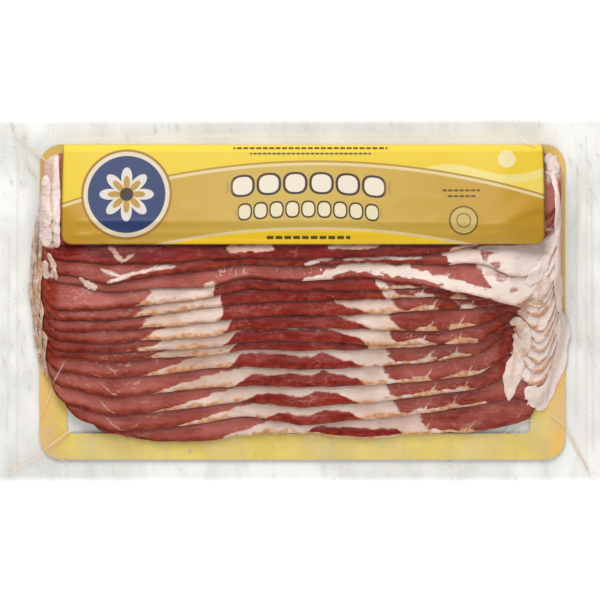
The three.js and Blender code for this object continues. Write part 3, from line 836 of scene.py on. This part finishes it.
# The card: one piece of yellow board with a window in its back panel. It is folded over at the
# top, so that its label lies on the slices. The label is printed in gold and cream on yellow.
PANEL_LEFT, PANEL_RIGHT, PANEL_BOTTOM, PANEL_TOP_EDGE = -125.7, 128.1, -77.1, 75.2
WINDOW_LEFT, WINDOW_RIGHT, WINDOW_BOTTOM, WINDOW_TOP = -112.6, 111.2, -64.5, -16.5
PANEL_CORNER = 10.5
WINDOW_CORNER = 3.0
PANEL_BASE = 0.6
BOARD = 0.5
FLAP_WALL = 0.4
FLAP_LEFT, FLAP_RIGHT, FLAP_BOTTOM = -114.2, 117.0, 26.6
FLAP_CORNER = (4.5, 4.5)
BEND_START = 70.2
BEND_REACH = 4.9
FLAP_COLUMNS = 200
FLAP_ROWS = 44
BEND_ROWS = 14
FLAP_SLOPE = 0.3
FLAP_CLEARANCE = 0.15
UNDER_FLAP = np.where(GRID_Y > FLAP_BOTTOM - 3.0, STACK, 0.0)
BENT_OVER = softened(laid_over(UNDER_FLAP, FLAP_SLOPE), 12)
BENT_OVER = np.maximum(BENT_OVER, UNDER_FLAP + FLAP_CLEARANCE)
# A soft fold near the label's right end: steep on its lower side, gentle on its upper side.
FOLD_LINE = ([90.0, 98.2, 107.5, 118.0], [34.5, 38.2, 42.2, 44.6])
FOLD_HEIGHT, FOLD_ABOVE, FOLD_BELOW = 0.9, 10.0, 3.0
past_fold = GRID_Y - np.interp(GRID_X, *FOLD_LINE)
fall_above = ease(past_fold, 0.0, FOLD_ABOVE)
fall_below = ease(-past_fold, 0.0, FOLD_BELOW)
fold_rise = 1.0 - np.where(past_fold > 0.0, fall_above, fall_below)
BENT_OVER += FOLD_HEIGHT * fold_rise * ease(GRID_X, 93.0, 106.0)


def place_flap(i, j):
    """The flap as a closed shell: over its upper face, down the bend, and back along its under face."""
    rows = FLAP_ROWS + BEND_ROWS + 1
    upper = j < rows
    row = np.where(upper, j, 2 * rows - 1 - j)
    row = np.where(row < 0, 0, row)
    along = np.clip(row / FLAP_ROWS, 0.0, 1.0)
    turn = np.clip((row - FLAP_ROWS) / BEND_ROWS, 0.0, 1.0) * math.pi / 2
    flat_y = FLAP_BOTTOM + (BEND_START - FLAP_BOTTOM) * along
    drawn = corner_draw(flat_y - FLAP_BOTTOM, FLAP_CORNER)
    u = i / FLAP_COLUMNS
    x = (FLAP_LEFT + drawn) * (1 - u) + (FLAP_RIGHT - drawn) * u
    crest = read_heights(BENT_OVER, x, flat_y)
    side = np.where(upper | (j == 2 * rows), FLAP_WALL, 0.0)
    side = np.where((i == 0) | (i == FLAP_COLUMNS), FLAP_WALL / 2, side)
    y = flat_y + (BEND_REACH - FLAP_WALL + side) * np.sin(turn)
    z = 1.0 + (crest - 1.0 + side) * np.cos(turn)
    return x, y, z


FLAP_ROUND = 2 * (FLAP_ROWS + BEND_ROWS + 1)
PRINTED_ABOVE = 1.2
card = grid_object("card_with_label", FLAP_COLUMNS, FLAP_ROUND, place_flap, close_round=True)
paint(card, "label", np.where(corners_of(card)[2] > PRINTED_ABOVE, 1.0, 0.0))


def rounded_outline(shape, left, right, bottom, top, corner):
    """A flat rectangle with round corners; gives back its rim."""
    start = set(shape.verts)
    bmesh.ops.create_grid(shape, x_segments=1, y_segments=1, size=0.5)
    fresh = [vert for vert in shape.verts if vert not in start]
    bmesh.ops.scale(shape, vec=(right - left, top - bottom, 1.0), verts=fresh)
    bmesh.ops.translate(shape, vec=((left + right) / 2, (bottom + top) / 2, 0.0), verts=fresh)
    bmesh.ops.bevel(shape, geom=fresh, offset=corner, segments=10, profile=0.5,
                    affect="VERTICES", material=-1)
    face = [f for f in shape.faces if not any(vert in start for vert in f.verts)][0]
    rim = list(face.edges)
    bmesh.ops.delete(shape, geom=[face], context="FACES_ONLY")
    return rim


PANEL = (PANEL_LEFT, PANEL_RIGHT, PANEL_BOTTOM, PANEL_TOP_EDGE)
WINDOW = (WINDOW_LEFT, WINDOW_RIGHT, WINDOW_BOTTOM, WINDOW_TOP)
panel_shape = bmesh.new()
outer_rim = rounded_outline(panel_shape, *PANEL, PANEL_CORNER)
window_rim = rounded_outline(panel_shape, *WINDOW, WINDOW_CORNER)
bmesh.ops.bridge_loops(panel_shape, edges=outer_rim + window_rim)
pulled = bmesh.ops.extrude_face_region(panel_shape, geom=list(panel_shape.faces))
lifted = [part for part in pulled["geom"] if isinstance(part, bmesh.types.BMVert)]
bmesh.ops.translate(panel_shape, vec=(0.0, 0.0, BOARD), verts=lifted)
bmesh.ops.translate(panel_shape, vec=(0.0, 0.0, PANEL_BASE), verts=panel_shape.verts)
bmesh.ops.scale(panel_shape, vec=(MM, MM, MM), verts=panel_shape.verts)
bmesh.ops.recalc_face_normals(panel_shape, faces=panel_shape.faces)
panel_shape.from_mesh(card.data)
panel_shape.to_mesh(card.data)
panel_shape.free()


def place_on_pack():
    """How far a place is across and up from the pack's middle, in millimetres."""
    place_of = node("ShaderNodeSeparateXYZ")
    link(node("ShaderNodeTexCoord").outputs["Object"], place_of.inputs[0])
    return product(place_of.outputs["X"], 1000.0), product(place_of.outputs["Y"], 1000.0)


board = start_material("printed_board")
across, up = place_on_pack()
INK_EDGE = 0.16


def above(value, limit):
    """1 where the value is over the limit, with a rim as soft as printed ink."""
    return stretch_range(value, limit - INK_EDGE, limit + INK_EDGE)


def between(value, low, high):
    """1 where the value lies from low to high."""
    return product(above(value, low), rest_of(above(value, high)))


ARC_MIDDLE = 2.4


def over_arc(height, bend, lean):
    """How far a place is above an arc that crosses the label."""
    offset = graph("SUBTRACT", across, ARC_MIDDLE)
    fall = product(offset, offset, bend)
    rise = product(offset, lean)
    return graph("SUBTRACT", up, total(graph("SUBTRACT", rise, fall), height))


def round_distance(x, y):
    """How far a place on the card is from (x, y), in millimetres."""
    dx = graph("SUBTRACT", across, x)
    dy = graph("SUBTRACT", up, y)
    return graph("SQRT", total(product(dx, dx), product(dy, dy)))


def print_over(share, ink):
    """Prints this ink over what is printed so far."""
    global print_colour
    print_colour = blend(share, print_colour, ink)


YELLOW, DEEP_YELLOW, BRIGHT_YELLOW = colour(240, 208, 30), colour(248, 218, 54), colour(255, 214, 26)
PALE_GOLD, DEEP_GOLD = colour(216, 186, 84), colour(206, 158, 34)
DARK_INK = colour(92, 74, 30)
RING_INK = colour(120, 92, 34)
top_arc = over_arc(66.2, 0.00138, 0.015)
low_arc = over_arc(34.1, 0.0014, 0.012)
print_colour = blend(stretch_range(up, 26.0, 76.0), YELLOW, DEEP_YELLOW)
print_over(rest_of(above(low_arc, 0.0)), BRIGHT_YELLOW)
gold = blend(stretch_range(graph("ABSOLUTE", across), 10.0, 115.0), PALE_GOLD, DEEP_GOLD)
print_over(product(rest_of(above(top_arc, 0.0)), above(low_arc, 0.0)), gold)

# Pale hills and a sun above the gold field, at the right.
hill_wave = product(graph("SINE", product(across, 0.11)), 2.6)
hills = graph("SUBTRACT", total(hill_wave, 62.5), up)
hill_colour = blend(above(hills, 4.0), colour(249, 233, 140), colour(250, 226, 96))
print_over(product(above(hills, 0.0), above(top_arc, 0.0), above(across, 50.0)), hill_colour)
print_over(rest_of(above(round_distance(99.0, 67.5), 4.2)), colour(252, 240, 178))

# Thin bands of brown and cream along both edges of the gold field.
print_over(between(top_arc, -0.3, 0.7), colour(190, 150, 48))
print_over(between(top_arc, -1.7, -0.3), colour(238, 220, 160))
print_over(between(low_arc, -0.7, 0.7), colour(236, 216, 150))

# A rosette of eight petals in a round frame, at the left.
ROSETTE = (-83.0, 50.6)
from_rosette = round_distance(*ROSETTE)
PETAL_REACH = 6.5
rosette_up = graph("SUBTRACT", up, ROSETTE[1])
rosette_across = graph("SUBTRACT", across, ROSETTE[0])
petal_wave = graph("COSINE", product(graph("ARCTAN2", rosette_up, rosette_across), 4.0))
petal_reach = total(product(graph("ABSOLUTE", petal_wave), PETAL_REACH), PETAL_REACH)
inside_petal = graph("SUBTRACT", petal_reach, from_rosette)
print_over(rest_of(above(from_rosette, 21.8)), colour(170, 128, 36))
print_over(rest_of(above(from_rosette, 20.6)), colour(238, 226, 190))
print_over(rest_of(above(from_rosette, 18.6)), colour(42, 62, 110))
print_over(above(inside_petal, 0.0), colour(232, 228, 214))
print_over(above(inside_petal, 4.0), colour(196, 156, 62))
print_over(rest_of(above(from_rosette, 3.2)), colour(60, 44, 30))

# Two rows of cream ovals in the middle.
BEADS_MIDDLE = 4.0
BEAD_ROUNDING = 2.6
BEAD_RIM, BEAD_INSIDE = 10.0, 7.4


def beads(row, count, period, width, height, ink):
    """A row of ovals with a dark rim, along an arc."""
    run = total(graph("DIVIDE", graph("SUBTRACT", across, BEADS_MIDDLE), period), count / 2.0)
    local = product(graph("SUBTRACT", graph("FRACT", run), 0.5), period / width)
    wide = graph("POWER", graph("ABSOLUTE", local), BEAD_ROUNDING)
    tall = graph("POWER", graph("ABSOLUTE", graph("DIVIDE", row, height)), BEAD_ROUNDING)
    size = product(graph("SQRT", total(wide, tall)), BEAD_RIM)
    in_row = product(above(run, 0.0), rest_of(above(run, float(count))))
    print_over(product(rest_of(above(size, BEAD_RIM)), in_row), colour(66, 46, 26))
    print_over(product(rest_of(above(size, BEAD_INSIDE)), in_row), ink)


beads(over_arc(56.0, 0.0016, 0.0), 6, 12.6, 5.9, 5.4, colour(246, 238, 212))
beads(over_arc(43.4, 0.0016, 0.0), 9, 7.6, 3.5, 4.2, colour(244, 232, 190))

# Broken bars over and under the ovals, and two short ones at the right with rings below them.
DASH_GAP = 0.22


def broken_bar(row, half_height, low, high, pitch, ink):
    """A thin bar of dashes between two places."""
    dashes = above(product(graph("FRACT", graph("DIVIDE", across, pitch)), pitch), DASH_GAP * pitch)
    shape = product(between(row, -half_height, half_height), between(across, low, high))
    print_over(product(shape, dashes), ink)


broken_bar(over_arc(72.9, 0.0, 0.0), 0.55, -32.0, 42.0, 3.1, DARK_INK)
broken_bar(over_arc(70.2, 0.0, 0.0), 0.45, -24.0, 34.0, 2.3, DARK_INK)
broken_bar(over_arc(29.8, 0.0, 0.0), 0.8, -16.0, 24.0, 4.2, DARK_INK)
broken_bar(over_arc(52.4, 0.0, 0.0), 0.5, 68.0, 86.0, 2.7, DARK_INK)
broken_bar(over_arc(49.6, 0.0, 0.0), 0.5, 70.0, 84.0, 2.7, DARK_INK)
from_ring = round_distance(78.0, 38.0)
print_over(rest_of(above(from_ring, 7.0)), RING_INK)
print_over(rest_of(above(from_ring, 6.2)), colour(214, 190, 108))
print_over(between(from_ring, 3.0, 3.5), RING_INK)

plain = blend(stretch_range(grain(40.0), 0.35, 0.65), colour(208, 183, 93), colour(219, 196, 108))
from_left = graph("SUBTRACT", across, PANEL_LEFT)
from_right = graph("SUBTRACT", PANEL_RIGHT, across)
near_side = stretch_range(graph("MINIMUM", from_left, from_right), 14.0, 1.0)
plain = blend(near_side, plain, colour(224, 178, 92))
inked = blend(1.0, print_colour, colour(218, 214, 220), "MULTIPLY")
board_colour = blend(attribute("label"), plain, inked)
shader = node("ShaderNodeBsdfPrincipled")
link(board_colour, shader.inputs["Base Color"])
shader.inputs["Roughness"].default_value = 0.5
shader.inputs["Specular IOR Level"].default_value = 0.25
bump = node("ShaderNodeBump")
bump.inputs["Strength"].default_value = 0.12
bump.inputs["Distance"].default_value = 0.0002
link(grain(420.0), bump.inputs["Height"])
link(bump.outputs["Normal"], shader.inputs["Normal"])
link(shader.outputs["BSDF"], node("ShaderNodeOutputMaterial").inputs["Surface"])
card.data.materials.append(board)
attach(card, "root")
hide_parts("card")

# The film: two webs of clear plastic, sealed to each other all round. The vacuum has drawn the
# front web down on the card and the slices; its flange lies nearly flat, with creases at the corners.
WEB = 0.14
FILM_SLOPE = 1.3
FILM_COLUMNS, FILM_ROWS = 232, 139
BACK_COLUMNS, BACK_ROWS = 116, 70
CLING = 0.1
CREASE_HALF_WIDTH = 2.6
# Creases in the flange: from, to, and height, in millimetres.
CREASES = [
    (-140.2, 82.4, -120.8, 65.5, 0.8),
    (-134.4, 68.9, -125.7, 57.3, 0.6),
    (-142.6, -84.3, -123.2, -72.3, 0.9),
    (-123.2, -72.3, -107.3, -60.2, 0.9),
    (-119.4, -40.8, -112.6, -28.8, 0.5),
    (-119.4, -42.3, -125.7, -57.8, 0.6),
    (119.4, -53.9, 128.1, -61.1, 0.8),
    (128.1, -61.1, 140.2, -84.3, 0.9),
    (103.9, 80.0, 113.6, 72.7, 0.6),
    (-136.5, -80.0, -136.5, 78.0, 0.25),
    (138.2, -80.0, 138.2, 80.0, 0.25),
    (133.2, -58.0, 133.9, 66.0, 0.3),
    (141.6, -74.0, 140.7, 58.0, 0.3),
    (-141.4, -66.0, -140.6, 34.0, 0.25),
]


def crease_field(x, y, half_width):
    """How high the creases raise the film at each place."""
    field = np.zeros_like(x)
    for x1, y1, x2, y2, height in CREASES:
        length = math.hypot(x2 - x1, y2 - y1)
        along = np.clip(((x - x1) * (x2 - x1) + (y - y1) * (y2 - y1)) / length**2, 0.0, 1.0)
        away = np.hypot(x - x1 - along * (x2 - x1), y - y1 - along * (y2 - y1))
        fade = np.clip(5.0 * np.minimum(along, 1.0 - along) + 0.2, 0.0, 1.0)
        field = np.maximum(field, height * fade * np.clip(1.0 - away / half_width, 0.0, 1.0))
    return field


def past_corner(places, low, high):
    """How far past the start of the panel's round corners the places are."""
    return np.maximum(np.abs(places - (low + high) / 2) - (high - low) / 2 + PANEL_CORNER, 0.0)


def over_rectangle(left, right, bottom, top):
    """Which squares lie over this rectangle."""
    return (GRID_X > left) & (GRID_X < right) & (GRID_Y > bottom) & (GRID_Y < top)


panel_x = past_corner(GRID_X, PANEL_LEFT, PANEL_RIGHT)
panel_y = past_corner(GRID_Y, PANEL_BOTTOM, PANEL_TOP_EDGE)
over_board = (np.hypot(panel_x, panel_y) < PANEL_CORNER) & ~over_rectangle(*WINDOW)
contents = np.maximum(np.where(over_board, PANEL_BASE + BOARD, 0.5), STACK)
turned = np.clip((GRID_Y - BEND_START) / BEND_REACH, 0.0, 1.0)
flap_heights = 1.0 + (BENT_OVER + BOARD - 1.0) * np.sqrt(1.0 - turned**2)
over_flap = over_rectangle(FLAP_LEFT, FLAP_RIGHT, FLAP_BOTTOM, PANEL_TOP_EDGE)
contents = np.where(over_flap, np.maximum(flap_heights, contents), contents)
DRAWN_DOWN = laid_over(contents + CLING, FILM_SLOPE)
DRAWN_DOWN = np.maximum(softened(DRAWN_DOWN, 2), contents + CLING)


def place_front(i, j):
    """A corner of the front web: on the heap, and flat round it."""
    x = (i / FILM_COLUMNS - 0.5) * PACK_LENGTH
    y = (j / FILM_ROWS - 0.5) * PACK_WIDTH
    flange = 1.0 - ease(read_heights(DRAWN_DOWN, x, y), 0.6, 2.5)
    waves = 0.3 * (1.0 + patches(x, 0.7 * y, 14.0, 51)) + 0.12 * (1.0 + patches(x, y, 5.0, 52))
    from_rim = np.minimum(PACK_LENGTH / 2 - np.abs(x), PACK_WIDTH / 2 - np.abs(y))
    lift = flange * waves * ease(from_rim, -1.0, 5.0)
    lift = lift + crease_field(x, y, CREASE_HALF_WIDTH) * ease(from_rim, 0.0, 3.0)
    return x, y, read_heights(DRAWN_DOWN, x, y) + lift


def place_back(i, j):
    """A corner of the back web."""
    x = (i / BACK_COLUMNS - 0.5) * PACK_LENGTH
    y = (j / BACK_ROWS - 0.5) * PACK_WIDTH
    return x, y, 0.02 + 0.12 * (1.0 + patches(x, y, 16.0, 53))


front = grid_object("film_front_web", FILM_COLUMNS, FILM_ROWS, place_front)
back = grid_object("film_back_web", BACK_COLUMNS, BACK_ROWS, place_back)

film = start_material("clear_film")
across, up = place_on_pack()
see_through = node("ShaderNodeBsdfTransparent")
see_through.inputs["Color"].default_value = (0.992, 0.992, 0.988, 1.0)
crease_share = 0.0
for x1, y1, x2, y2, height in CREASES:
    length = math.hypot(x2 - x1, y2 - y1)
    ahead = ((x2 - x1) / length, (y2 - y1) / length)
    from_x = graph("SUBTRACT", across, x1)
    from_y = graph("SUBTRACT", up, y1)
    along = total(product(from_x, ahead[0]), product(from_y, ahead[1]))
    aside = graph("SUBTRACT", product(from_x, ahead[1]), product(from_y, ahead[0]))
    line = stretch_range(graph("ABSOLUTE", aside), 0.25 + 0.5 * height, 0.1)
    ends = (stretch_range(along, 0.0, 3.0), stretch_range(along, length, length - 3.0))
    crease_share = graph("MAXIMUM", crease_share, product(line, *ends, height))
# Painted shade: grey clouds and streaks on the flange stand for the shading of its wrinkles, over the
# film's own haze; the specks are dust.
cloud = stretch_range(grain(30.0, detail=2.0), 0.42, 0.66)
blotches = stretch_range(grain(95.0, (1.0, 0.35, 1.0), 2.0, 0.65), 0.5, 0.72)
dust = stretch_range(grain(420.0, detail=0.0), 0.77, 0.82)
flange = attribute("flange")
flange_haze_dust_and_shade = product(total(product(cloud, 0.09), product(blotches, 0.07)), flange)
# Painted shade: two faint grey patches on the top flange, called pressed.
pressed = product(total(between(across, -8.7, 9.7), between(across, 21.7, 36.7)), above(up, 76.0))
flange_haze_dust_and_shade = total(flange_haze_dust_and_shade, product(dust, 0.3, flange), product(pressed, 0.035))
haze = node("ShaderNodeBsdfPrincipled")
milky_and_shaded = blend(cloud, colour(188, 186, 178), colour(222, 220, 212))
crease_colour = colour(232, 196, 156)
in_crease = graph("MULTIPLY", crease_share, 1.0, clamp=True)
link(blend(in_crease, milky_and_shaded, crease_colour), haze.inputs["Base Color"])
haze.inputs["Roughness"].default_value = 0.35
haze_share = graph("ADD", total(flange_haze_dust_and_shade, 0.001), product(crease_share, 0.6), clamp=True)
clear = node("ShaderNodeMixShader")
link(haze_share, clear.inputs["Fac"])
link(see_through.outputs["BSDF"], clear.inputs[1])
link(haze.outputs["BSDF"], clear.inputs[2])
gloss = node("ShaderNodeBsdfGlossy")
gloss.inputs["Roughness"].default_value = 0.28
turned_away = node("ShaderNodeLayerWeight")
turned_away.inputs["Blend"].default_value = 0.5
sheen = total(product(graph("POWER", turned_away.outputs["Facing"], 4.0), 0.4), 0.0025)
surface = node("ShaderNodeMixShader")
link(sheen, surface.inputs["Fac"])
link(clear.outputs["Shader"], surface.inputs[1])
link(gloss.outputs["BSDF"], surface.inputs[2])
link(surface.outputs["Shader"], node("ShaderNodeOutputMaterial").inputs["Surface"])

back_film = start_material("clear_back_film")
plain_clear = node("ShaderNodeBsdfTransparent")
plain_clear.inputs["Color"].default_value = (0.985, 0.982, 0.972, 1.0)
plain_gloss = node("ShaderNodeBsdfGlossy")
plain_gloss.inputs["Roughness"].default_value = 0.3
plain_mix = node("ShaderNodeMixShader")
plain_mix.inputs["Fac"].default_value = 0.01
link(plain_clear.outputs["BSDF"], plain_mix.inputs[1])
link(plain_gloss.outputs["BSDF"], plain_mix.inputs[2])
link(plain_mix.outputs["Shader"], node("ShaderNodeOutputMaterial").inputs["Surface"])

for web, replaced, look in ((front, "film_front", film), (back, "film_back", back_film)):
    paint(web, "flange", 1.0 - ease(corners_of(web)[2], 1.2, 3.0))
    skin = web.modifiers.new("thickness", "SOLIDIFY")
    skin.thickness = WEB * MM
    skin.offset = 1.0
    web.data.materials.append(look)
    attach(web, "root")
    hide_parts(replaced)
